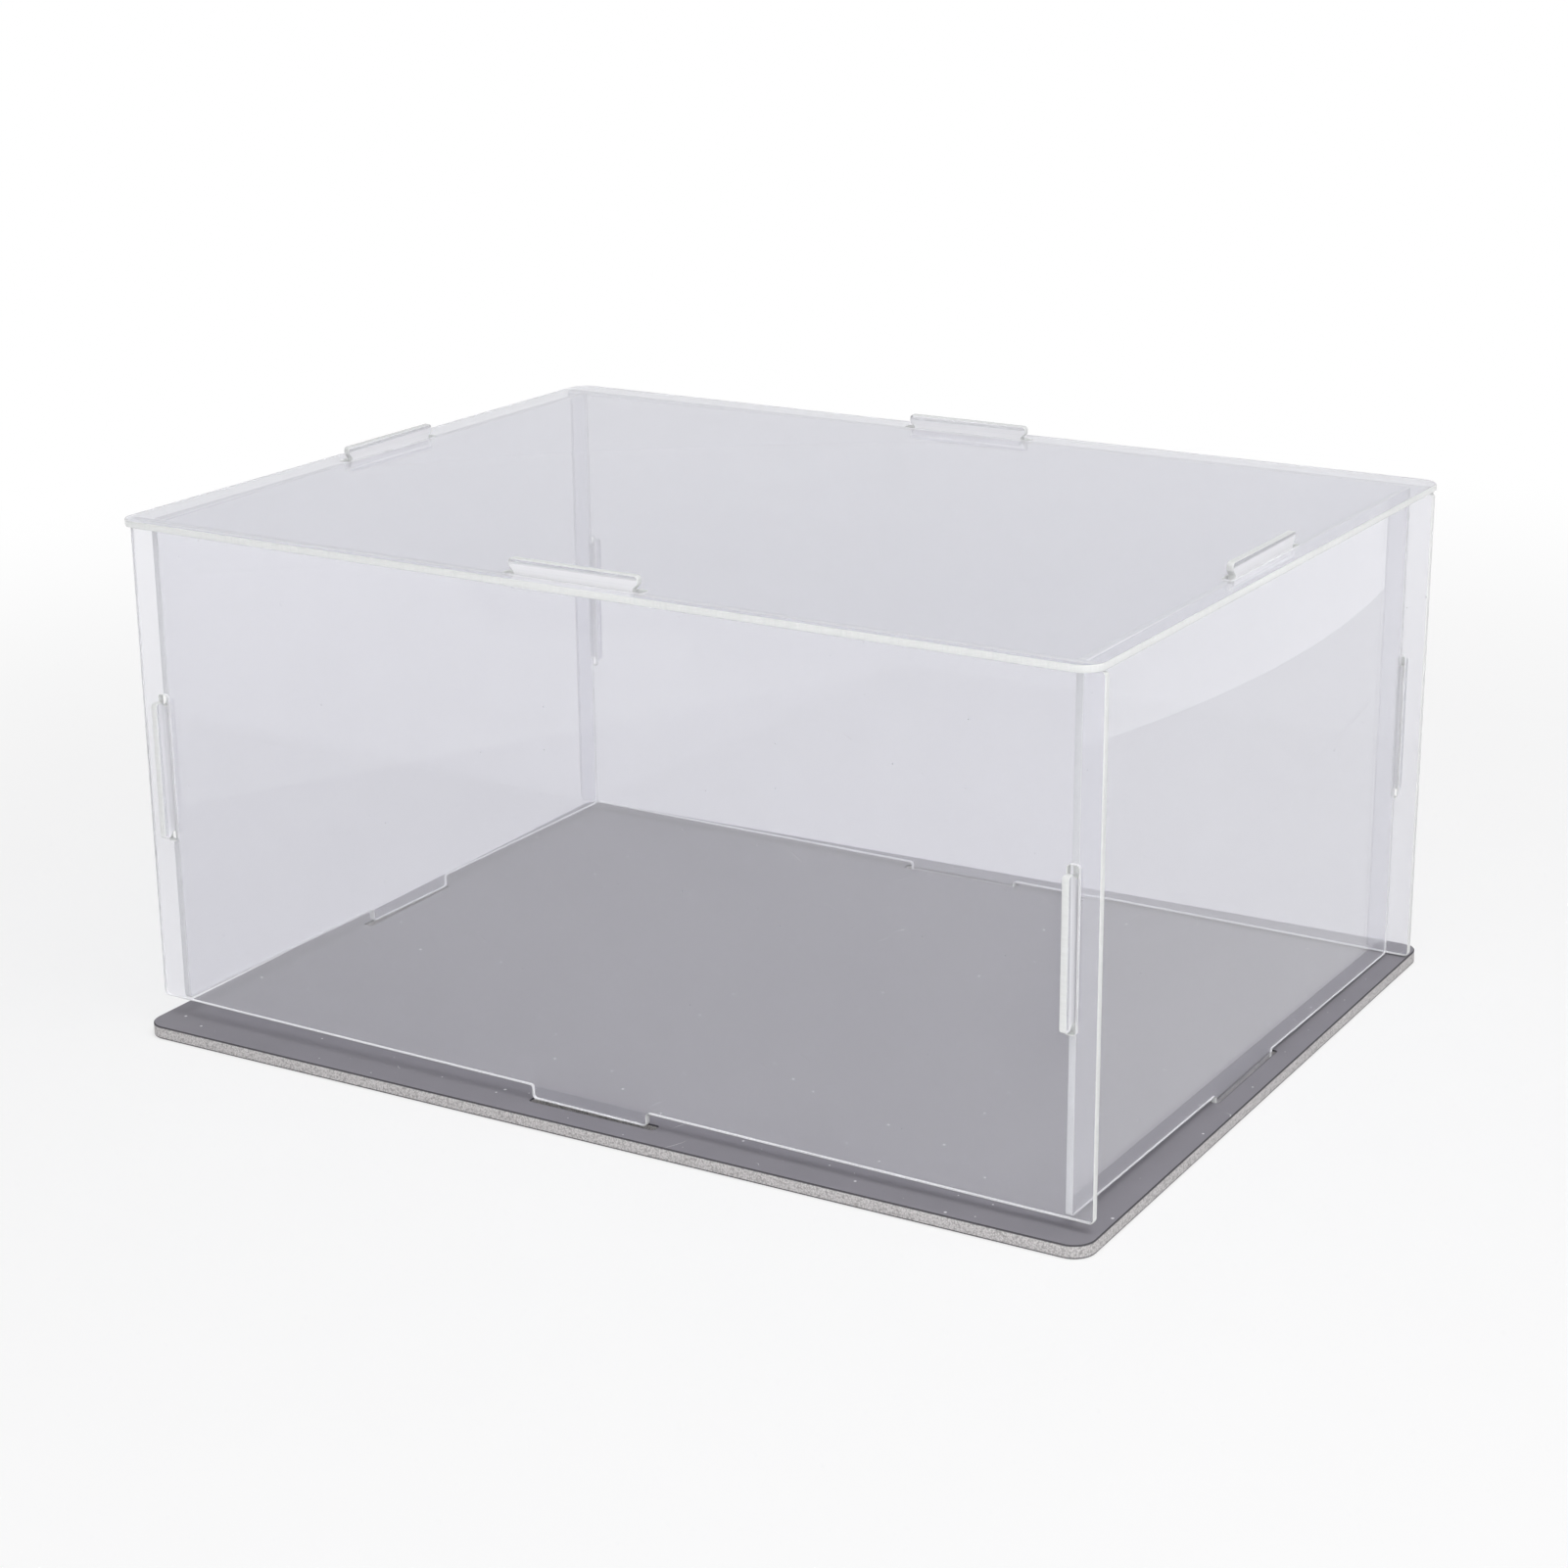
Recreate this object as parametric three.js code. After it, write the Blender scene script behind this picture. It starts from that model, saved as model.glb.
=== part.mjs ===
// Flat-pack display case: a dark foam board for a base, and a cover of five clear acrylic sheets
// that hold each other with tabs in slots, without glue or screws.
// Millimetres, +Z up, the front towards -Y. The origin is the middle of the base's underside.

import * as THREE from 'three';

// Thickness of the material
const SHEET = 2;            // clear acrylic sheet
const BOARD = 4;            // foam board of the base

// Room inside the cover
const INSIDE_WIDTH = 300;   // between the side walls
const INSIDE_DEPTH = 220;   // between the front and back walls
const WALL_HEIGHT = 149;    // from edge to edge, without the tabs

// How far each piece runs past the walls' outer faces
const WALL_END = 7;         // front and back walls, past the side walls
const TOP_SIDE = 7;         // top panel, past the side walls
const TOP_FRONT = 6;        // top panel, past the front and back walls
const BASE_SIDE = 7.5;      // base, past the side walls
const BASE_FRONT = 9;       // base, past the front and back walls

// Tabs: a plain foot goes down into the base, a lipped head goes through a neighbouring sheet
const TAB_WIDTH = 39.5;     // foot, and neck of a head
const HEAD_LIP = 1.5;       // how far a head is wider than its neck, at each end
const HEAD_PROUD = 4.2;     // how far a head stands out of the sheet

// Roundings of the cut outlines
const PLATE_CORNER = 6.5;   // corners of the top panel and the base
const WALL_CORNER = 1.5;    // corners of the walls
const TAB_CORNER = 1.4;     // outer corners of heads and feet
const ROOT_FILLET = 0.8;    // where a tab leaves its wall
const SLOT_CORNER = 0.8;    // ends of the slots

// Clearances
const GAP = 0.3;            // between faces that rest on each other
const SLOT_CLEARANCE = 0.5; // each side of a sheet in its slot
const SLOT_PLAY = 1.5;      // each end of a tab in its slot

// Sizes that follow
const outerWidth = INSIDE_WIDTH + 2 * SHEET;
const outerDepth = INSIDE_DEPTH + 2 * SHEET;
const endWallWidth = outerWidth + 2 * WALL_END;
const sideWallWidth = INSIDE_DEPTH - 2 * GAP;
const sideWallX = (INSIDE_WIDTH + SHEET) / 2;
const endWallY = (INSIDE_DEPTH + SHEET) / 2;
const headWidth = TAB_WIDTH + 2 * HEAD_LIP;
const headNeck = GAP + SHEET + GAP;
const headLength = GAP + SHEET + HEAD_PROUD;
const footLength = BOARD;
const slotWidth = SHEET + 2 * SLOT_CLEARANCE;
const headSlot = headWidth + 2 * SLOT_PLAY;
const footSlot = TAB_WIDTH + 2 * SLOT_PLAY;

// A corner of an outline: its place and the radius that rounds it.
function corner(x, y, radius = 0) {
  return { at: new THREE.Vector2(x, y), radius };
}

// Draws the closed outline through the corners on a Shape or Path, each corner as an arc that takes
// up at most half of the shorter of its two edges.
function drawOutline(path, corners) {
  corners.forEach(({ at, radius }, i) => {
    const toLast = corners.at(i - 1).at.clone().sub(at);
    const toNext = corners[(i + 1) % corners.length].at.clone().sub(at);
    const room = Math.min(toLast.length(), toNext.length()) / 2;
    const halfAngle = Math.abs(toLast.angleTo(toNext)) / 2;
    const setback = Math.min(radius / Math.tan(halfAngle), room);
    const from = at.clone().addScaledVector(toLast.normalize(), setback);
    const to = at.clone().addScaledVector(toNext.normalize(), setback);
    const draw = i === 0 ? 'moveTo' : 'lineTo';
    path[draw](from.x, from.y);
    if (setback > 0) {
      const inward = toLast.clone().add(toNext).normalize();
      const centre = at.clone().addScaledVector(inward, setback / Math.cos(halfAngle));
      const startAngle = from.clone().sub(centre).angle();
      const endAngle = to.clone().sub(centre).angle();
      const clockwise = toLast.cross(toNext) > 0;
      path.absarc(centre.x, centre.y, from.distanceTo(centre), startAngle, endAngle, clockwise);
    }
  });
  path.closePath();
  return path;
}

// Corners of a rectangle about its centre, counter-clockwise from its lower left.
function rectangle(x, y, width, height, radius) {
  const [right, top] = [width / 2, height / 2];
  return [
    corner(x - right, y - top, radius),
    corner(x + right, y - top, radius),
    corner(x + right, y + top, radius),
    corner(x - right, y + top, radius),
  ];
}

// Turns corners about the outline's origin by quarter turns, counter-clockwise, then moves them.
function placeCorners(corners, quarterTurns, x, y) {
  const origin = new THREE.Vector2();
  return corners.map(({ at, radius }) => {
    const turned = at.clone().rotateAround(origin, quarterTurns * Math.PI / 2);
    return corner(turned.x + x, turned.y + y, radius);
  });
}

// A foot that points down from an edge at y = 0, in the order of a counter-clockwise outline.
function footCorners() {
  const side = TAB_WIDTH / 2;
  return [
    corner(-side, 0, ROOT_FILLET),
    corner(-side, -footLength, TAB_CORNER),
    corner(side, -footLength, TAB_CORNER),
    corner(side, 0, ROOT_FILLET),
  ];
}

// A head that points down in the same way: a neck as long as the sheet is thick, then lips that
// slope out to the head's full width.
function headCorners() {
  const neck = TAB_WIDTH / 2;
  const lip = headWidth / 2;
  const lipStart = -headNeck - HEAD_LIP;
  return [
    corner(-neck, 0, ROOT_FILLET),
    corner(-neck, -headNeck, ROOT_FILLET),
    corner(-lip, lipStart, ROOT_FILLET),
    corner(-lip, -headLength, TAB_CORNER),
    corner(lip, -headLength, TAB_CORNER),
    corner(lip, lipStart, ROOT_FILLET),
    corner(neck, -headNeck, ROOT_FILLET),
    corner(neck, 0, ROOT_FILLET),
  ];
}

// A sheet cut to an outline with slots, lying in its own XY plane and as thick as given along +Z.
function cutSheet(outline, slots, thickness) {
  const shape = drawOutline(new THREE.Shape(), outline);
  for (const slot of slots) {
    shape.holes.push(drawOutline(new THREE.Path(), slot));
  }
  return new THREE.ExtrudeGeometry(shape, { depth: thickness, bevelEnabled: false, curveSegments: 5 });
}

// A wall, standing on the middle of its lower edge: a foot below, a head above and, on a side wall,
// a head at each end.
function wallOutline(width, endHeads) {
  const sheet = rectangle(0, WALL_HEIGHT / 2, width, WALL_HEIGHT, WALL_CORNER);
  const [lowLeft, lowRight, highRight, highLeft] = sheet;
  const rightHead = placeCorners(headCorners(), 1, width / 2, WALL_HEIGHT / 2);
  const leftHead = placeCorners(headCorners(), 3, -width / 2, WALL_HEIGHT / 2);
  return [
    lowLeft,
    ...footCorners(),
    lowRight,
    ...(endHeads ? rightHead : []),
    highRight,
    ...placeCorners(headCorners(), 2, 0, WALL_HEIGHT),
    highLeft,
    ...(endHeads ? leftHead : []),
  ];
}

// The slots of an end wall, one for each side wall's head.
function endWallSlots() {
  return [-sideWallX, sideWallX].map(
    (x) => rectangle(x, WALL_HEIGHT / 2, slotWidth, headSlot, SLOT_CORNER),
  );
}

// The four slots of a level plate, one over each wall.
function plateSlots(length) {
  return [
    rectangle(0, -endWallY, length, slotWidth, SLOT_CORNER),
    rectangle(0, endWallY, length, slotWidth, SLOT_CORNER),
    rectangle(-sideWallX, 0, slotWidth, length, SLOT_CORNER),
    rectangle(sideWallX, 0, slotWidth, length, SLOT_CORNER),
  ];
}

function clearAcrylic() {
  return new THREE.MeshStandardMaterial({
    color: 0xe9eef2,
    roughness: 0.04,
    metalness: 0,
    transparent: true,
    opacity: 0.25,
  });
}

function darkFoamBoard() {
  return new THREE.MeshStandardMaterial({ color: 0x807f85, roughness: 0.55, metalness: 0 });
}

function piece(name, geometry, material) {
  const mesh = new THREE.Mesh(geometry, material);
  mesh.name = name;
  return mesh;
}

// The base: a board with a slot for each wall's foot.
function makeBase() {
  const width = outerWidth + 2 * BASE_SIDE;
  const depth = outerDepth + 2 * BASE_FRONT;
  const outline = rectangle(0, 0, width, depth, PLATE_CORNER);
  return piece('base_board', cutSheet(outline, plateSlots(footSlot), BOARD), darkFoamBoard());
}

// Front and back walls stand across the ends of the side walls and are slotted for their heads.
function makeEndWall(name, side) {
  const geometry = cutSheet(wallOutline(endWallWidth, false), endWallSlots(), SHEET);
  const wall = piece(name, geometry, clearAcrylic());
  wall.rotation.x = Math.PI / 2;
  wall.position.y = side * endWallY + SHEET / 2;
  return wall;
}

// Side walls stand between the end walls, with a head at mid height through each of them.
function makeSideWall(name, side) {
  const geometry = cutSheet(wallOutline(sideWallWidth, true), [], SHEET);
  const wall = piece(name, geometry, clearAcrylic());
  wall.rotation.set(Math.PI / 2, Math.PI / 2, 0);
  wall.position.x = side * sideWallX - SHEET / 2;
  return wall;
}

// The top lies on the walls' upper edges, with their heads through its slots.
function makeTop() {
  const width = outerWidth + 2 * TOP_SIDE;
  const depth = outerDepth + 2 * TOP_FRONT;
  const outline = rectangle(0, 0, width, depth, PLATE_CORNER);
  const top = piece('top_panel', cutSheet(outline, plateSlots(headSlot), SHEET), clearAcrylic());
  top.position.z = WALL_HEIGHT + GAP;
  return top;
}

// The cover is set down but not pressed home. Its front and left feet stand level with the base's
// face, its back right corner comes down to the face, and the right and back feet hang in their
// slots, so the walls' lower edges lie in a plane through those three places. It is turned a
// little too, as far as the slots let it.
function poseCover(cover) {
  const backRight = (endWallWidth / 2) / sideWallX + (outerDepth / 2) / endWallY;
  const lift = footLength * backRight / (1 + backRight);
  const drop = footLength - lift;
  const endTurn = (SLOT_PLAY - GAP) / Math.max(sideWallX, endWallY);
  const sideTurn = (SLOT_CLEARANCE - GAP) / (TAB_WIDTH / 2);
  const pitch = -Math.atan2(drop, endWallY);
  const roll = Math.atan2(drop, sideWallX);
  const turn = -Math.min(endTurn, sideTurn);
  cover.rotation.set(pitch, roll, turn);
  cover.position.z = BOARD + GAP + lift;
}

const cover = new THREE.Group();
cover.add(makeEndWall('front_wall', -1));
cover.add(makeEndWall('back_wall', 1));
cover.add(makeSideWall('left_wall', -1));
cover.add(makeSideWall('right_wall', 1));
cover.add(makeTop());
poseCover(cover);

const displayCase = new THREE.Group();
displayCase.add(makeBase());
displayCase.add(cover);

export default displayCase;
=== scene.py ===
# %% [markdown]
# # Clear flat-pack display case
# The real object is a kit of six flat pieces: a dark foam board for the base, and five sheets of
# clear acrylic that hold each other with tabs in slots. The CAD model already has every piece at its
# real size and place. This lesson dresses those pieces: it gives each sheet the softened corners and
# bright cut edge of real acrylic, gives the board its skin and its cellular edge, and sets up a
# floor, soft light and a camera at the photograph's angle.

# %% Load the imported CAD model
import bpy
import numpy as np
from mathutils import Matrix, Vector


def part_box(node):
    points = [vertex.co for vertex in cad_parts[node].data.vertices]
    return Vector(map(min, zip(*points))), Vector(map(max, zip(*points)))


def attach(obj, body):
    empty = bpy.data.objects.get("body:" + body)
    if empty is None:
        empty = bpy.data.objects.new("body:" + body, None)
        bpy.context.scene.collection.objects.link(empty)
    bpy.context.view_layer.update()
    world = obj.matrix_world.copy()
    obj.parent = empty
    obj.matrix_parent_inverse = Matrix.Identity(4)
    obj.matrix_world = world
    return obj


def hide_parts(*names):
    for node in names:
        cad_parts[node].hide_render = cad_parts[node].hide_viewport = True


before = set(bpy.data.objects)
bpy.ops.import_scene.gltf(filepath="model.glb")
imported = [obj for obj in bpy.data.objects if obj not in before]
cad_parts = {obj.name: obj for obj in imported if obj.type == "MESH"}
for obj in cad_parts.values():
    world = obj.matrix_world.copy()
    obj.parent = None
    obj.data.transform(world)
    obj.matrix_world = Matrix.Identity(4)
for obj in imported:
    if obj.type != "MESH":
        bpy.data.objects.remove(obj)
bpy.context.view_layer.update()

MM = 0.001
print("CAD nodes:", sorted(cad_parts))

# %% [markdown]
# ## The camera
# A photograph can be matched by eye, or by fitting a camera to straight edges whose places are known.
# Here the edges of the base and the sheets were fitted, which gives the distance, the angles and the
# focal length together. The picture is square, so one focal length in pixels sets the lens.

# %% Camera at the photograph's angle
PICTURE_SIDE = 1601
FOCAL_PIXELS = 3244.0
SENSOR_WIDTH = 36.0
NEAREST, FARTHEST = 0.05, 200.0
CAMERA_PLACE = np.array((480.8, -785.9, 376.0)) * MM
CAMERA_AZIMUTH, CAMERA_ELEVATION, CAMERA_ROLL = np.radians((31.569, 18.391, 1.37))


def camera_axes(azimuth, elevation, roll):
    """Right, up and back of a camera: back points from the object to the camera at that azimuth
    and elevation, right is level, and both right and up are then turned about back by roll."""
    back = np.array((
        np.sin(azimuth) * np.cos(elevation),
        -np.cos(azimuth) * np.cos(elevation),
        np.sin(elevation),
    ))
    level = np.cross((0, 0, 1), back)
    level /= np.linalg.norm(level)
    upright = np.cross(back, level)
    right = np.cos(roll) * level - np.sin(roll) * upright
    return right, np.cross(back, right), back


camera = bpy.data.objects.new("camera", bpy.data.cameras.new("camera"))
camera.data.sensor_width = SENSOR_WIDTH
camera.data.lens = FOCAL_PIXELS / PICTURE_SIDE * SENSOR_WIDTH
camera.data.clip_start = NEAREST
camera.data.clip_end = FARTHEST
axes = np.stack(camera_axes(CAMERA_AZIMUTH, CAMERA_ELEVATION, CAMERA_ROLL), axis=1)
camera.matrix_world = Matrix.Translation(CAMERA_PLACE.tolist()) @ Matrix(axes.tolist()).to_4x4()
bpy.context.scene.collection.objects.link(camera)
bpy.context.scene.camera = camera
print(f"lens {camera.data.lens:.1f} mm, {np.linalg.norm(CAMERA_PLACE):.2f} m from the origin")

# %% [markdown]
# ## Colours and nodes
# Colours are written as the sRGB hex values that a picture editor shows, and Blender's shaders want
# linear light, so one function converts them. Another adds a shader node: every material below is a
# list of such calls, each naming the sockets that it sets or links. A third starts a material.

# %% Three helpers for materials


def linear(hex_colour):
    """Linear RGBA of an sRGB hex colour: a channel c is c / 12.92 where it is dark, up to 0.04045,
    and ((c + 0.055) / 1.055) to the power 2.4 above that."""
    channels = np.array([int(hex_colour[i:i + 2], 16) for i in (1, 3, 5)]) / 255
    dark = channels / 12.92
    light = ((channels + 0.055) / 1.055) ** 2.4
    return (*np.where(channels <= 0.04045, dark, light).tolist(), 1.0)


def add_node(tree, kind, inputs, **settings):
    """Adds one shader node. settings are its own properties, and inputs its sockets by name or
    number, each with a plain value to set or another node's output to link."""
    node = tree.nodes.new("ShaderNode" + kind)
    for name, value in settings.items():
        setattr(node, name, value)
    for name, value in inputs.items():
        if isinstance(value, bpy.types.NodeSocket):
            tree.links.new(value, node.inputs[name])
        else:
            node.inputs[name].default_value = value
    return node


def new_material(name):
    """An empty material and its node tree."""
    material = bpy.data.materials.new(name)
    material.use_nodes = True
    material.node_tree.nodes.clear()
    return material, material.node_tree


print("white is", linear("#FFFFFF"), "and mid grey is", [round(c, 3) for c in linear("#808080")])

# %% [markdown]
# ## The stage
# Clear sheet shows mostly what is round it, so the stage matters more than on an opaque object. A
# pale floor as wide as the view stands for the studio's paper. It could be lit until it looks white,
# but that light would bleach the object too. Instead the floor and the world are white only to rays
# that reach the eye, straight or by way of mirrors and clear sheet, and lend a matte surface no more
# light than a plain studio does. Close to the object the floor stays partly matte and keeps a shadow,
# which fades out between two distances from the middle. The paper has a faint cloudiness.

# %% Floor
FLOOR_REACH = 40.0
FLOOR_DROP = 0.2 * MM
SHADOW_REACH = 0.25, 0.8
SHADOW_SHARE = 0.35
PAPER_CLOUD = 40 * MM


def seen_directly(tree):
    """A socket that is 1 for a ray from the camera, a mirror or a clear sheet that has met no matte
    surface yet, and 0 for a ray that only carries light to a matte surface."""
    path = add_node(tree, "LightPath", {}).outputs
    mirrored = add_node(tree, "Math", {
        0: path["Is Camera Ray"], 1: path["Is Glossy Ray"],
    }, operation="ADD", use_clamp=True)
    seen_through = add_node(tree, "Math", {
        0: mirrored.outputs["Value"], 1: path["Is Transmission Ray"],
    }, operation="ADD", use_clamp=True)
    no_matte_yet = add_node(tree, "Math", {0: path["Diffuse Depth"], 1: 0.5}, operation="LESS_THAN")
    return add_node(tree, "Math", {
        0: seen_through.outputs["Value"], 1: no_matte_yet.outputs["Value"],
    }, operation="MULTIPLY").outputs["Value"]


floor_paper, tree = new_material("matte white studio paper")
place = add_node(tree, "TexCoord", {}).outputs["Object"]
cloud = add_node(tree, "TexNoise", {"Vector": place, "Scale": 1 / PAPER_CLOUD, "Detail": 3.0})
paper = add_node(tree, "Mix", {
    "Factor": cloud.outputs["Fac"], "A": linear("#F3F3F4"), "B": linear("#F7F7F8"),
}, data_type="RGBA")
matte = add_node(tree, "BsdfDiffuse", {"Color": paper.outputs["Result"]})
white = add_node(tree, "Emission", {"Color": linear("#FFFFFF"), "Strength": 1.0})
away = add_node(tree, "VectorMath", {0: place}, operation="LENGTH")
white_share = add_node(tree, "MapRange", {
    "Value": away.outputs["Value"], "From Min": SHADOW_REACH[0], "From Max": SHADOW_REACH[1],
    "To Min": 1 - SHADOW_SHARE, "To Max": 1.0,
}, interpolation_type="SMOOTHSTEP")
whiten = add_node(tree, "Math", {
    0: white_share.outputs["Result"], 1: seen_directly(tree),
}, operation="MULTIPLY")
paper_shader = add_node(tree, "MixShader", {
    "Fac": whiten.outputs["Value"], 1: matte.outputs["BSDF"], 2: white.outputs["Emission"],
})
add_node(tree, "OutputMaterial", {"Surface": paper_shader.outputs["Shader"]})
floor_paper.cycles.emission_sampling = "NONE"

floor_mesh = bpy.data.meshes.new("floor")
corners = np.array(((-1, -1, 0), (1, -1, 0), (1, 1, 0), (-1, 1, 0))) * FLOOR_REACH
floor_mesh.from_pydata(corners.tolist(), [], [(0, 1, 2, 3)])
floor_mesh.materials.append(floor_paper)
floor = bpy.data.objects.new("floor", floor_mesh)
floor.location.z = -FLOOR_DROP
bpy.context.scene.collection.objects.link(floor)
print("floor reaches", FLOOR_REACH, "m each way, and keeps a shadow out to", SHADOW_REACH[1], "m")

# %% [markdown]
# ## The world
# Seen in the sheets, the room round the object is white at the horizon and a calm grey higher up,
# which is what the top sheet mirrors. As light on matte surfaces it is a plain fill. The horizon's
# band is given as the height of a direction of length one.

# %% World
FILL_LEVEL = 0.37
HORIZON_BAND = 0.02, 0.3

world = bpy.data.worlds.new("studio")
world.use_nodes = True
world.node_tree.nodes.clear()
tree = world.node_tree
height = add_node(tree, "SeparateXYZ", {0: add_node(tree, "TexCoord", {}).outputs["Generated"]})
rise = add_node(tree, "MapRange", {
    "Value": height.outputs["Z"], "From Min": HORIZON_BAND[0], "From Max": HORIZON_BAND[1],
}, interpolation_type="SMOOTHSTEP")
sky = add_node(tree, "Mix", {
    "Factor": rise.outputs["Result"], "A": linear("#FFFFFF"), "B": linear("#C2C3C8"),
}, data_type="RGBA")
light_path = add_node(tree, "LightPath", {})
seen = add_node(tree, "Mix", {
    "Factor": light_path.outputs["Is Camera Ray"],
    "A": sky.outputs["Result"], "B": linear("#FFFFFF"),
}, data_type="RGBA")
lit = add_node(tree, "Mix", {
    "Factor": seen_directly(tree),
    "A": (FILL_LEVEL, FILL_LEVEL, FILL_LEVEL, 1.0), "B": seen.outputs["Result"],
}, data_type="RGBA")
background = add_node(tree, "Background", {"Color": lit.outputs["Result"]})
add_node(tree, "OutputWorld", {"Surface": background.outputs["Background"]})
world.cycles.sampling_method = "NONE"
bpy.context.scene.world = world
bpy.context.scene.view_settings.view_transform = "Standard"
print("fill light", FILL_LEVEL)

# %% [markdown]
# ## The light
# One soft key comes from above and to the right, as wide as a large diffuser. A weaker lamp in front
# lifts the edges that face the camera, and the world fills the rest, so that a level grey card would
# show about its own grey.

# %% Key and front lamps
KEY_POWER, KEY_SIDE = 20.5, 1.4
KEY_PLACE = Vector((0.8, -0.47, 1.58))
FRONT_POWER, FRONT_SIDE = 6.0, 1.0
FRONT_PLACE = Vector((0.5, -1.9, 0.55))
LAMP_AIM = Vector((0.0, 0.0, 0.05))


def soft_lamp(name, place, side, power):
    """A square lamp of the given side, turned to shine at LAMP_AIM. Without multiple importance
    sampling, sharp mirrors don't show it, so no sheet has a bright square in it."""
    lamp = bpy.data.objects.new(name, bpy.data.lights.new(name, "AREA"))
    lamp.data.energy = power
    lamp.data.size = side
    lamp.data.cycles.use_multiple_importance_sampling = False
    lamp.location = place
    lamp.rotation_mode = "QUATERNION"
    lamp.rotation_quaternion = (place - LAMP_AIM).to_track_quat("Z", "Y")
    bpy.context.scene.collection.objects.link(lamp)
    return lamp


soft_lamps = [
    soft_lamp("soft_key", KEY_PLACE, KEY_SIDE, KEY_POWER),
    soft_lamp("front_fill", FRONT_PLACE, FRONT_SIDE, FRONT_POWER),
]
print("lamps:", {lamp.name: f"{lamp.data.energy} W" for lamp in soft_lamps})

# %% [markdown]
# ## What the walls mirror
# A clear wall mirrors the floor and what lies on it. Sheets of card could be laid there, but the
# camera would see them too. A lamp can be hidden from every ray but a mirrored one, so three flat
# lamps lie just over the floor. A wide one in front draws the pale veil on the front wall. Its light
# rises from a share of its full level, over a short span along one direction, so that the veil grows
# towards the right. One to the left draws the slanting step in the left wall, and a round one the
# soft curve in the right wall.

# %% Cards that only reflections show
CARD_HEIGHT = 1 * MM
NEAR_RADIANCE = 0.85
NEAR_RISE = (0.6, -0.8, 0.0)
NEAR_SPAN = 0.02, 0.32
NEAR_SHARE = 0.25
LEFT_RADIANCE = 0.4
LEFT_TURN = np.arctan2(-0.408, -0.913)
RIGHT_RADIANCE = 0.5
RIGHT_ACROSS = 1.302


def reflected_card(name, centre, turn, size, radiance, shape="RECTANGLE"):
    """A card that lies just over the floor and faces up, seen only in reflections. A lamp's power is
    its radiance times pi times its area, which for a disk is pi / 4 of the square round it."""
    lamp = bpy.data.lights.new(name, "AREA")
    lamp.shape = shape
    lamp.size, lamp.size_y = size
    share = np.pi / 4 if shape == "DISK" else 1.0
    lamp.energy = radiance * np.pi * size[0] * size[1] * share
    card = bpy.data.objects.new(name, lamp)
    card.rotation_euler = (np.pi, 0, turn)
    card.location = (*centre, CARD_HEIGHT)
    card.visible_camera = False
    card.visible_diffuse = False
    card.visible_transmission = False
    bpy.context.scene.collection.objects.link(card)
    return card


near_card = reflected_card(
    "near_card", centre=(-0.3, -1.122), turn=0.0, size=(4.0, 2.0), radiance=NEAR_RADIANCE,
)
near_card.data.use_nodes = True
tree = near_card.data.node_tree
tree.nodes.clear()
spot = add_node(tree, "NewGeometry", {}).outputs["Position"]
away = add_node(tree, "VectorMath", {0: spot, 1: NEAR_RISE}, operation="DOT_PRODUCT")
level = add_node(tree, "MapRange", {
    "Value": away.outputs["Value"], "From Min": NEAR_SPAN[0], "From Max": NEAR_SPAN[1],
    "To Min": NEAR_SHARE,
})
glow = add_node(tree, "Emission", {"Strength": level.outputs["Result"]})
add_node(tree, "OutputLight", {"Surface": glow.outputs["Emission"]})
reflected_card(
    "left_card", centre=(-0.966, -0.765), turn=LEFT_TURN, size=(1.6, 3.0), radiance=LEFT_RADIANCE,
)
reflected_card(
    "right_card", centre=(0.964, 0.421), turn=0.0, size=(RIGHT_ACROSS, RIGHT_ACROSS),
    radiance=RIGHT_RADIANCE, shape="DISK",
)
print("lamps and cards:", [lamp.name for lamp in bpy.data.lights])

# %% [markdown]
# ## Dust and scratches
# On a clear or dark sheet the eye finds the face by what lies on it: specks of dust and the hairlines
# that wiping leaves. They could be painted on an image. Here they are masks from cell patterns, in
# millimetres of the real sheet, so they stay sharp at any distance. A real hairline is finer than the
# picture can show, so these are drawn several times wider. Each piece's mesh, made further down,
# carries its own flat coordinates for them in metres, called face_place.

# %% Masks of specks and hairlines


def specks(tree, place, spacing, radius):
    """A mask of round specks. Each cell of the spacing has one at a random point, with a radius that
    is the largest one times the cube of a random number, and the mask falls from 1 inside half of it
    to 0."""
    cells = add_node(tree, "TexVoronoi", {
        "Vector": place, "Scale": 1 / spacing,
    }, voronoi_dimensions="2D")
    chance = add_node(tree, "SeparateColor", {0: cells.outputs["Color"]}).outputs["Red"]
    rarely_large = add_node(tree, "Math", {0: chance, 1: 3.0}, operation="POWER").outputs["Value"]
    reach = add_node(tree, "Math", {0: rarely_large, 1: radius / spacing}, operation="MULTIPLY")
    share = add_node(tree, "Math", {
        0: cells.outputs["Distance"], 1: reach.outputs["Value"],
    }, operation="DIVIDE")
    return add_node(tree, "MapRange", {
        "Value": share.outputs["Value"], "From Min": 1.0, "From Max": 0.5,
    }).outputs["Result"]


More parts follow.
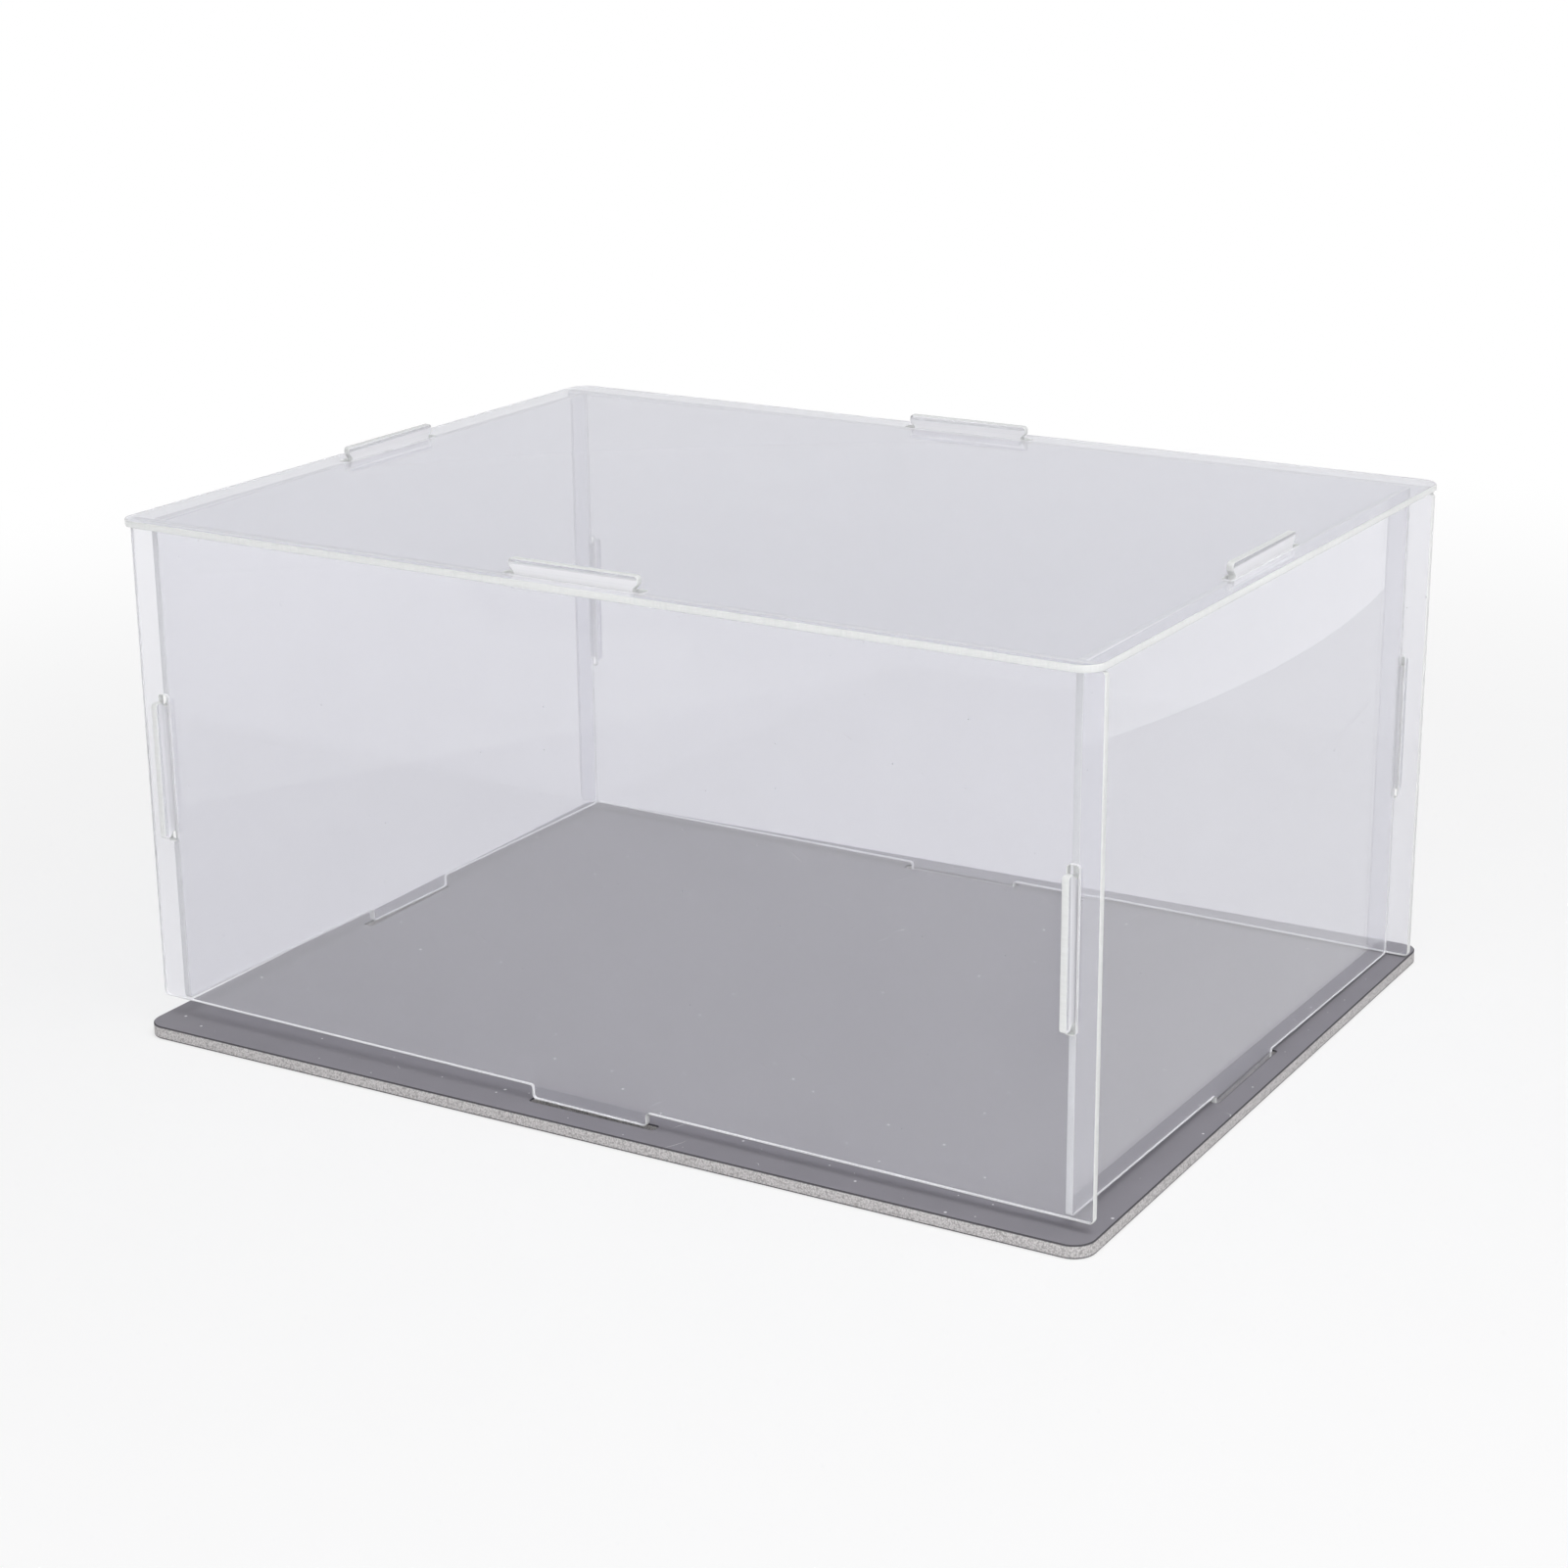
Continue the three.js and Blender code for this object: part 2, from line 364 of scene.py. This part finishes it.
def hairlines(tree, place, turn, length, width, each):
    """A mask of hairline scratches at one angle: ellipses of the given length and width, one in each
    area of the given size, with a mask that falls from 1 in the inner fifth to 0 at the rim. The
    plane is stretched until the ellipses are round, and bent by up to eight widths."""
    stretch = np.sqrt(each / (length * width))
    bend = add_node(tree, "TexNoise", {"Vector": place, "Scale": 1 / length}, noise_dimensions="2D")
    bent = add_node(tree, "VectorMath", {
        0: bend.outputs["Color"], 1: (8 * width, 8 * width, 0), 2: place,
    }, operation="MULTIPLY_ADD")
    laid = add_node(tree, "Mapping", {
        "Vector": bent.outputs["Vector"], "Rotation": (0, 0, turn),
        "Scale": (length * stretch, width * stretch, 1),
    }, vector_type="TEXTURE")
    cells = add_node(tree, "TexVoronoi", {
        "Vector": laid.outputs["Vector"], "Scale": 1.0,
    }, voronoi_dimensions="2D")
    return add_node(tree, "MapRange", {
        "Value": cells.outputs["Distance"], "From Min": 0.5 / stretch, "From Max": 0.1 / stretch,
    }).outputs["Result"]


print("masks to lay on a face:", specks.__name__, "and", hairlines.__name__)

# %% [markdown]
# ## Cast acrylic, polished faces
# Cast acrylic (PMMA) is poured between sheets of plate glass, so its faces are as smooth as that
# glass: clear, with sharp reflections. A new sheet is still never quite clean. Handling leaves a thin
# uneven film, and the film is what keeps a clear wall from vanishing before a pale ground. It is a
# mask too: how much of the face is clouded.

# %% Film, dust and hairlines on the acrylic
SMUDGE_SIZE = 38 * MM
SMUDGE_SPAN = 0.3, 0.7
FILM = 0.105, 0.13
MARK_SHARE = 0.2

acrylic_face, tree = new_material("cast acrylic, polished face")
place = add_node(tree, "Attribute", {}, attribute_name="face_place").outputs["Vector"]
smudge = add_node(tree, "TexNoise", {"Vector": place, "Scale": 1 / SMUDGE_SIZE, "Detail": 4.0})
film = add_node(tree, "MapRange", {
    "Value": smudge.outputs["Fac"], "From Min": SMUDGE_SPAN[0], "From Max": SMUDGE_SPAN[1],
    "To Min": FILM[0], "To Max": FILM[1],
}).outputs["Result"]
dust = specks(tree, place, spacing=22 * MM, radius=0.4 * MM)
scratch = hairlines(tree, place, turn=0.5, length=7 * MM, width=0.12 * MM, each=6000 * MM * MM)
marks = add_node(tree, "Math", {0: dust, 1: scratch}, operation="MAXIMUM")
hazy = add_node(tree, "Math", {
    0: marks.outputs["Value"], 1: MARK_SHARE, 2: film,
}, operation="MULTIPLY_ADD")
print(f"film clouds {FILM[0]:.1%} to {FILM[1]:.1%} of a face")

# %% [markdown]
# ## Painted reflections on the heads
# Each head sits in a slot, and the thin gaps of air between it and the slot's walls mirror the bright
# room, so a head looks white. That white is painted here as a matte white on the face, a painted
# reflection: on the top heads fully, down to just under their shoulders, and on the ones at the ends
# of the side walls by about half. Only the outer rim of a head stays clear. The white could be a third
# material on the mesh, but its border would be hard. Here it follows each point's place from the
# shoulders, which the walls' meshes carry: its run from the middle in X, its rise over the top
# shoulder in Y, and the end shoulders' run in Z. It is streaked along the shoulder.

# %% Painted white reflections on the heads
STREAK_SIZE = 0.6 * MM
STREAK_SPAN = 0.35, 0.65
PAINTED_REFLECTION_WHITE = 0.85, 1.0
END_HEADS_PAINTED_SHARE = 0.45
NECK_HALF = 19.75 * MM
UNDER_HEAD = 1.8 * MM
HEAD_START = -0.2 * MM, 0.3 * MM
CLEAR_RIM = 4.6 * MM, 5.6 * MM
SOFT_END = 0.2 * MM
SOFT_SIDE = 0.3 * MM

shoulder = add_node(tree, "SeparateXYZ", {
    0: add_node(tree, "Attribute", {}, attribute_name="from_shoulders").outputs["Vector"],
}).outputs
run = add_node(tree, "Math", {0: shoulder["X"]}, operation="ABSOLUTE").outputs["Value"]
past_end = add_node(tree, "Math", {0: run, 1: shoulder["Z"]}, operation="SUBTRACT")
past = add_node(tree, "Math", {
    0: past_end.outputs["Value"], 1: shoulder["Y"],
}, operation="MAXIMUM").outputs["Value"]
on_head = add_node(tree, "MapRange", {
    "Value": past, "From Min": HEAD_START[0], "From Max": HEAD_START[1],
}).outputs["Result"]
near_top = add_node(tree, "MapRange", {
    "Value": shoulder["Y"],
    "From Min": -UNDER_HEAD - SOFT_END, "From Max": -UNDER_HEAD + SOFT_END,
}).outputs["Result"]
neck_width = add_node(tree, "MapRange", {
    "Value": run, "From Min": NECK_HALF + SOFT_SIDE, "From Max": NECK_HALF - SOFT_SIDE,
}).outputs["Result"]
under_head = add_node(tree, "Math", {0: near_top, 1: neck_width}, operation="MULTIPLY")
# painted reflection: the slot gaps' mirrored white, painted on the head and just under the top
# shoulder
painted_reflection_zone = add_node(tree, "Math", {0: on_head, 1: under_head.outputs["Value"]}, operation="MAXIMUM")
inside_rim = add_node(tree, "MapRange", {
    "Value": past, "From Min": CLEAR_RIM[0], "From Max": CLEAR_RIM[1], "To Min": 1.0, "To Max": 0.0,
}).outputs["Result"]
streaks = add_node(tree, "TexNoise", {
    "W": past, "Scale": 1 / STREAK_SIZE,
}, noise_dimensions="1D")
# how white the painted reflection is, streaked along the shoulder
painted_reflection_white = add_node(tree, "MapRange", {
    "Value": streaks.outputs["Fac"], "From Min": STREAK_SPAN[0], "From Max": STREAK_SPAN[1],
    "To Min": PAINTED_REFLECTION_WHITE[0], "To Max": PAINTED_REFLECTION_WHITE[1],
}).outputs["Result"]
how_much = add_node(tree, "MapRange", {
    "Value": near_top, "To Min": END_HEADS_PAINTED_SHARE, "To Max": 1.0,
}).outputs["Result"]
streaky = add_node(tree, "Math", {0: how_much, 1: painted_reflection_white}, operation="MULTIPLY")
painted_reflection_inside_rim = add_node(tree, "Math", {
    0: inside_rim, 1: streaky.outputs["Value"],
}, operation="MULTIPLY")
# the film and its marks everywhere, plus the painted reflection on the heads
film_and_painted_reflection = add_node(tree, "Math", {
    0: painted_reflection_zone.outputs["Value"], 1: painted_reflection_inside_rim.outputs["Value"], 2: hazy.outputs["Value"],
}, operation="MULTIPLY_ADD", use_clamp=True)
print("heads are clear from", CLEAR_RIM[1] / MM, "mm past their shoulders")

# %% [markdown]
# ## Clear where it is clean, white where it is clouded or painted
# The face is clear acrylic with a slight tint, mixed with a matte white by the masks above: the film
# and its marks, and the painted reflections on the heads. Blender can't aim at a lamp through a sheet
# that bends the light, so the inside of the case would stay dark. A thin flat sheet shifts light by
# less than its own thickness, so rays that look for a lamp may pass it straight.

# %% Shaders of the acrylic face
ACRYLIC_IOR = 1.49

clear = add_node(tree, "BsdfPrincipled", {
    "Base Color": linear("#F0F0F4"),
    "Roughness": 0.0,
    "IOR": ACRYLIC_IOR,
    "Transmission Weight": 1.0,
})
# matte white for the film and marks, and for the painted reflections on the heads
dust_and_painted_white = add_node(tree, "BsdfPrincipled", {
    "Base Color": linear("#FCFCFF"), "Roughness": 0.8, "Specular IOR Level": 0.1,
})
handled = add_node(tree, "MixShader", {
    "Fac": film_and_painted_reflection.outputs["Value"], 1: clear.outputs["BSDF"], 2: dust_and_painted_white.outputs["BSDF"],
})
light_path = add_node(tree, "LightPath", {})
passing = add_node(tree, "BsdfTransparent", {"Color": linear("#FAFAFB")})
lit_through = add_node(tree, "MixShader", {
    "Fac": light_path.outputs["Is Shadow Ray"],
    1: handled.outputs["Shader"], 2: passing.outputs["BSDF"],
})
add_node(tree, "OutputMaterial", {"Surface": lit_through.outputs["Shader"]})
print(acrylic_face.name, "has", len(tree.nodes), "nodes")

# %% [markdown]
# ## Cast acrylic, cut edge
# A router leaves the edge rough and milky, with fine lines square to the faces. The rough cut scatters
# the light that falls on it, so the edge looks white beside the clear faces. Seen through the sheet,
# on the side that Blender calls its back, the edge is painted pure white: painted light for the light
# that the sheet pipes to it from within, which the render doesn't follow.

# %% Acrylic edge material
CUT_LINE = 0.5 * MM
CUT_DEPTH = 0.02 * MM

acrylic_edge, tree = new_material("cast acrylic, cut edge")
along = add_node(tree, "Attribute", {}, attribute_name="along_cut").outputs["Vector"]
lines = add_node(tree, "TexNoise", {"Vector": along, "Scale": 1 / CUT_LINE, "Detail": 2.0})
routed = add_node(tree, "Mix", {
    "Factor": lines.outputs["Fac"], "A": linear("#E4E6E5"), "B": linear("#F6F7F6"),
}, data_type="RGBA")
# painted light: the back side, seen through the sheet, is pure white for the light piped inside it
frost_and_painted_glow = add_node(tree, "Mix", {
    "Factor": add_node(tree, "NewGeometry", {}).outputs["Backfacing"],
    "A": routed.outputs["Result"], "B": linear("#FFFFFF"),
}, data_type="RGBA")
ridges = add_node(tree, "Bump", {
    "Height": lines.outputs["Fac"], "Distance": CUT_DEPTH, "Strength": 0.5,
})
cut = add_node(tree, "BsdfPrincipled", {
    "Base Color": frost_and_painted_glow.outputs["Result"],
    "Roughness": 0.2,
    "IOR": ACRYLIC_IOR,
    "Transmission Weight": 0.15,
    "Normal": ridges.outputs["Normal"],
})
add_node(tree, "OutputMaterial", {"Surface": cut.outputs["BSDF"]})
print(acrylic_edge.name, "has", len(tree.nodes), "nodes")

# %% [markdown]
# ## Rigid PVC foam board, skin
# The base is extruded PVC foam: a smooth satin skin over a core of fine cells. The skin is a cool grey
# with a faint mottle, which varies its sheen too, a fine grain, specks of dust, and handling scratches
# of two lengths. The grain is bump, because it is far too shallow to show as a shape.

# %% Foam board skin material
MOTTLE_SIZE = 14 * MM
GRAIN_SIZE = 0.6 * MM
GRAIN_DEPTH = 0.02 * MM
SHEEN = 0.38, 0.5
FOAM_IOR = 1.5

board_skin, tree = new_material("rigid PVC foam, satin skin")
place = add_node(tree, "Attribute", {}, attribute_name="face_place").outputs["Vector"]
mottle = add_node(tree, "TexNoise", {"Vector": place, "Scale": 1 / MOTTLE_SIZE, "Detail": 4.0})
plain = add_node(tree, "Mix", {
    "Factor": mottle.outputs["Fac"], "A": linear("#838187"), "B": linear("#8E8B92"),
}, data_type="RGBA")
dust = specks(tree, place, spacing=10 * MM, radius=0.6 * MM)
long_scratch = hairlines(tree, place, turn=1.9, length=9 * MM, width=0.22 * MM, each=3000 * MM * MM)
short_scratch = hairlines(tree, place, turn=0.6, length=3.5 * MM, width=0.3 * MM, each=2500 * MM * MM)
scratches = add_node(tree, "Math", {0: long_scratch, 1: short_scratch}, operation="MAXIMUM")
marks = add_node(tree, "Math", {0: dust, 1: scratches.outputs["Value"]}, operation="MAXIMUM")
grey = add_node(tree, "Mix", {
    "Factor": marks.outputs["Value"], "A": plain.outputs["Result"], "B": linear("#E4E3E7"),
}, data_type="RGBA")
grain = add_node(tree, "TexNoise", {"Vector": place, "Scale": 1 / GRAIN_SIZE, "Detail": 2.0})
pebble = add_node(tree, "Bump", {
    "Height": grain.outputs["Fac"], "Distance": GRAIN_DEPTH, "Strength": 0.6,
})
sheen = add_node(tree, "MapRange", {
    "Value": mottle.outputs["Fac"], "To Min": SHEEN[0], "To Max": SHEEN[1],
})
skin = add_node(tree, "BsdfPrincipled", {
    "Base Color": grey.outputs["Result"],
    "Roughness": sheen.outputs["Result"],
    "IOR": FOAM_IOR,
    "Normal": pebble.outputs["Normal"],
})
add_node(tree, "OutputMaterial", {"Surface": skin.outputs["BSDF"]})
print(board_skin.name, "has", len(tree.nodes), "nodes")

# %% [markdown]
# ## Rigid PVC foam board, sawn edge
# The saw opens the core, much paler than the skin and pitted with cells of half a millimetre, between
# two thin dark lines where the skin was cut through. How far a point is from the board's middle
# height tells core from skin.

# %% Foam board edge material
CELL_SIZE = 0.5 * MM
PIT_DEPTH = 0.15 * MM
SKIN_THICKNESS = 0.4 * MM
SKIN_BLEND = 1.3, 0.8

board_low, board_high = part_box("base_board")
board_middle = (board_low.z + board_high.z) / 2
board_half = (board_high.z - board_low.z) / 2

board_core, tree = new_material("rigid PVC foam, sawn core")
place = add_node(tree, "TexCoord", {}).outputs["Object"]
cells = add_node(tree, "TexVoronoi", {"Vector": place, "Scale": 1 / CELL_SIZE})
foam = add_node(tree, "Mix", {
    "Factor": cells.outputs["Distance"], "A": linear("#E6E3E3"), "B": linear("#989595"),
}, data_type="RGBA")
level = add_node(tree, "SeparateXYZ", {0: place}).outputs["Z"]
from_middle = add_node(tree, "Math", {0: level, 1: board_middle}, operation="SUBTRACT")
outward = add_node(tree, "Math", {0: from_middle.outputs["Value"]}, operation="ABSOLUTE")
rim = add_node(tree, "MapRange", {
    "Value": outward.outputs["Value"],
    "From Min": board_half - SKIN_BLEND[0] * SKIN_THICKNESS,
    "From Max": board_half - SKIN_BLEND[1] * SKIN_THICKNESS,
})
sawn = add_node(tree, "Mix", {
    "Factor": rim.outputs["Result"], "A": foam.outputs["Result"], "B": linear("#4A484D"),
}, data_type="RGBA")
pits = add_node(tree, "Bump", {
    "Height": cells.outputs["Distance"], "Distance": PIT_DEPTH, "Strength": 0.6,
})
core = add_node(tree, "BsdfPrincipled", {
    "Base Color": sawn.outputs["Result"],
    "Roughness": 0.75,
    "IOR": FOAM_IOR,
    "Normal": pits.outputs["Normal"],
})
add_node(tree, "OutputMaterial", {"Surface": core.outputs["BSDF"]})
print(board_core.name, "has", len(tree.nodes), "nodes")

# %% [markdown]
# ## The outline of a flat solid
# Every piece is a flat sheet, so its outline and its thickness say all about its shape. They could be
# typed in again from the drawing, but then the two could drift apart. Here they are read off the CAD
# solid. Its largest triangle says which way is up, the triangles with all three corners in the upper
# half make the upper face, and that face's rim is the outline.

# %% Read a flat solid's outline
POINT_DIGITS = 7


def node_triangles(name):
    """The corners of a CAD node's triangles, as an array of triangle, corner and coordinate."""
    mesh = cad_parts[name].data
    mesh.calc_loop_triangles()
    points = np.empty(3 * len(mesh.vertices), dtype=np.float32)
    mesh.vertices.foreach_get("co", points)
    corners = np.empty(3 * len(mesh.loop_triangles), dtype=np.int32)
    mesh.loop_triangles.foreach_get("vertices", corners)
    return points.reshape(-1, 3)[corners].reshape(-1, 3, 3).astype(float)


def sheet_outline(triangles):
    """The upper face of a flat solid: its unit normal, its thickness, its points, its triangles, and
    its rim, the directed edges that belong to one triangle of the face alone."""
    normals = np.cross(triangles[:, 1] - triangles[:, 0], triangles[:, 2] - triangles[:, 0])
    areas = np.linalg.norm(normals, axis=1)
    normal = normals[areas.argmax()] / areas.max()
    depth = triangles @ normal
    upper = triangles[(depth > (depth.max() + depth.min()) / 2).all(axis=1)]
    rounded = np.round(upper.reshape(-1, 3), POINT_DIGITS)
    points, faces = np.unique(rounded, axis=0, return_inverse=True)
    faces = faces.reshape(-1, 3)
    sides = np.concatenate((faces[:, (0, 1)], faces[:, (1, 2)], faces[:, (2, 0)]))
    there = sides @ (len(points), 1)
    back_again = sides @ (1, len(points))
    return normal, depth.max() - depth.min(), points, faces, sides[~np.isin(there, back_again)]


print("base board:", len(node_triangles("base_board")), "CAD triangles")

# %% [markdown]
# ## A rounded arris
# A CAD sheet has knife-sharp corners. On the real one each corner is a tiny rounded arris that
# catches the light, which is why the edges read as bright lines. A Bevel modifier could round them,
# but the CAD mesh is loose triangles, and a bevel would treat its long triangles unevenly. Instead a
# profile with two rounded corners is carried along the outline, and the two faces keep the CAD's own
# triangles.

# %% Shape the edge
ARRIS_RADIUS = 0.3 * MM
ARRIS_STEPS = 4


def rim_outward(points, rim, normal):
    """For each outline point, the step that moves both of its rim edges out by one unit: the sum of
    the two edges' outward unit vectors, scaled by two over its squared length."""
    run = points[rim[:, 1]] - points[rim[:, 0]]
    out = np.cross(run / np.linalg.norm(run, axis=1, keepdims=True), normal)
    step = np.zeros_like(points)
    np.add.at(step, rim[:, 0], out)
    np.add.at(step, rim[:, 1], out)
    return 2 * step / (step ** 2).sum(axis=1, keepdims=True)


def arris_profile(thickness):
    """Inset and height of a cut edge from its lower face to its upper. Each corner is a quarter
    round: at an angle a the inset is the radius times (1 - cos a), and the distance from the face is
    the radius times (1 - sin a)."""
    angle = np.linspace(0, np.pi / 2, ARRIS_STEPS)
    inset = ARRIS_RADIUS * (1 - np.cos(angle))
    from_face = ARRIS_RADIUS * (1 - np.sin(angle))
    lower = np.stack((inset, from_face - thickness), axis=1)[::-1]
    upper = np.stack((inset, -from_face), axis=1)
    return np.concatenate((lower, upper))


print("profile of a 2 mm edge in mm:", (arris_profile(2 * MM) / MM).round(2).tolist())

# %% [markdown]
# ## Sheets with their own coordinates
# The materials above need to know where they are on a sheet, whichever way it stands. Object
# coordinates would smear the pattern on a wall that leans, so each mesh carries three sets of its
# own: the place along a cut, the place on a face, and the place from the heads' shoulders. The mesh
# has two materials, one for its faces and one for its cut edge, and only the cut edge is smooth.

# %% Carry the edge round a flat sheet
FACE_SHIFT = 37.0
HEAD_LENGTH = 6.5 * MM
OUT_OF_REACH = 1.0
STANDING = 0.7
SHARP_ANGLE = np.radians(40)


def from_shoulders(run, rise, end_heads, top_head):
    """For each point of a wall: its run from the middle, its rise above the shoulder under the top
    head, and the run at which the end heads' shoulders are. A missing head's is put out of reach."""
    run = run - (run.max() + run.min()) / 2
    end = run.max() - HEAD_LENGTH if end_heads else OUT_OF_REACH
    shoulder = rise.max() - HEAD_LENGTH if top_head else OUT_OF_REACH
    return np.stack((run, rise - shoulder, np.full_like(run, end)), axis=-1)


def keep_vectors(mesh, name, vectors):
    """Stores one vector for each point of a mesh, for its materials to read by name."""
    attribute = mesh.attributes.new(name, "FLOAT_VECTOR", "POINT")
    attribute.data.foreach_set("vector", vectors.ravel().astype(np.float32))


def cut_sheet(node, name, face_material, edge_material, end_heads=False, top_head=False):
    """A sheet with rounded arrises in place of a CAD node: point = outline - inset * outward + height
    * normal for every outline point and every profile point, closed by the CAD face's triangles.
    A face's own coordinates run level and upwards in its plane, and are shifted along by its depth, so
    that every face shows another stretch of the pattern."""
    normal, thickness, points, faces, rim = sheet_outline(node_triangles(node))
    outward = rim_outward(points, rim, normal)
    profile = arris_profile(thickness)
    rings = points - profile[:, :1, None] * outward + profile[:, 1:, None] * normal
    count = len(points)
    ring_starts = count * np.arange(len(profile) - 1)[:, None]
    quads = np.stack((rim[:, 0], rim[:, 1], rim[:, 1] + count, rim[:, 0] + count), axis=-1)
    band = (ring_starts[..., None] + quads).reshape(-1, 4)
    upper = faces + count * (len(profile) - 1)
    lower = faces[:, ::-1]

    mesh = bpy.data.meshes.new(name)
    polygons = upper.tolist() + lower.tolist() + band.tolist()
    mesh.from_pydata(rings.reshape(-1, 3).tolist(), [], polygons)
    on_edge = np.arange(len(mesh.polygons)) >= 2 * len(faces)
    mesh.polygons.foreach_set("material_index", on_edge.astype(np.int32))
    depth = rings @ normal
    keep_vectors(mesh, "along_cut", rings - depth[..., None] * normal)
    stands = abs(normal[2]) < STANDING
    level = np.cross((0, 0, 1), normal) if stands else np.array((1, 0, 0))
    run, rise = rings @ level, rings @ np.cross(normal, level)
    keep_vectors(mesh, "face_place", np.stack((run + FACE_SHIFT * depth, rise, 0 * depth), axis=-1))
    keep_vectors(mesh, "from_shoulders", from_shoulders(run, rise, end_heads, top_head))
    mesh.materials.append(face_material)
    mesh.materials.append(edge_material)
    mesh.set_sharp_from_angle(angle=SHARP_ANGLE)
    mesh.polygons.foreach_set("use_smooth", on_edge)
    piece = bpy.data.objects.new(name, mesh)
    bpy.context.scene.collection.objects.link(piece)
    print(f"{name}: {thickness / MM:.2f} mm thick, {count} outline points, {len(mesh.polygons)} faces")
    return piece


# %% [markdown]
# ## The five clear sheets
# Each sheet takes the place of its CAD node and rides on the body that carries that node: the four
# walls on one, and the lift-off top on its own. Every wall has a head at its top, and the side walls
# have one at each end as well.

# %% Make the clear sheets
sheet_bodies = {
    "front_wall": "walls", "back_wall": "walls", "left_wall": "walls", "right_wall": "walls",
    "top_panel": "top",
}
for node, body in sheet_bodies.items():
    sheet = cut_sheet(
        node, "clear_" + node, acrylic_face, acrylic_edge,
        end_heads=node in ("left_wall", "right_wall"), top_head=body == "walls",
    )
    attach(sheet, body)
    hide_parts(node)

# %% [markdown]
# ## The foam board
# The base is a flat board with slots, so the same function makes it, with the foam's two materials.

# %% Make the base
board = cut_sheet("base_board", "foam_base", board_skin, board_core)
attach(board, "base")
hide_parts("base_board")

# %% [markdown]
# ## Light paths
# A ray that enters a cut edge is mirrored many times inside the sheet before it leaves, and one that
# crosses the case passes four faces or more. Blender's own limits would end some of these rays early
# and leave dark edges, so they are raised. Its blur of mirrored rays is off, to keep the sheets sharp.

# %% Light paths for clear sheet
cycles = bpy.context.scene.cycles
cycles.max_bounces = 32
cycles.glossy_bounces = 24
cycles.transmission_bounces = 24
cycles.transparent_max_bounces = 32
cycles.blur_glossy = 0
print("bounces:", cycles.max_bounces)
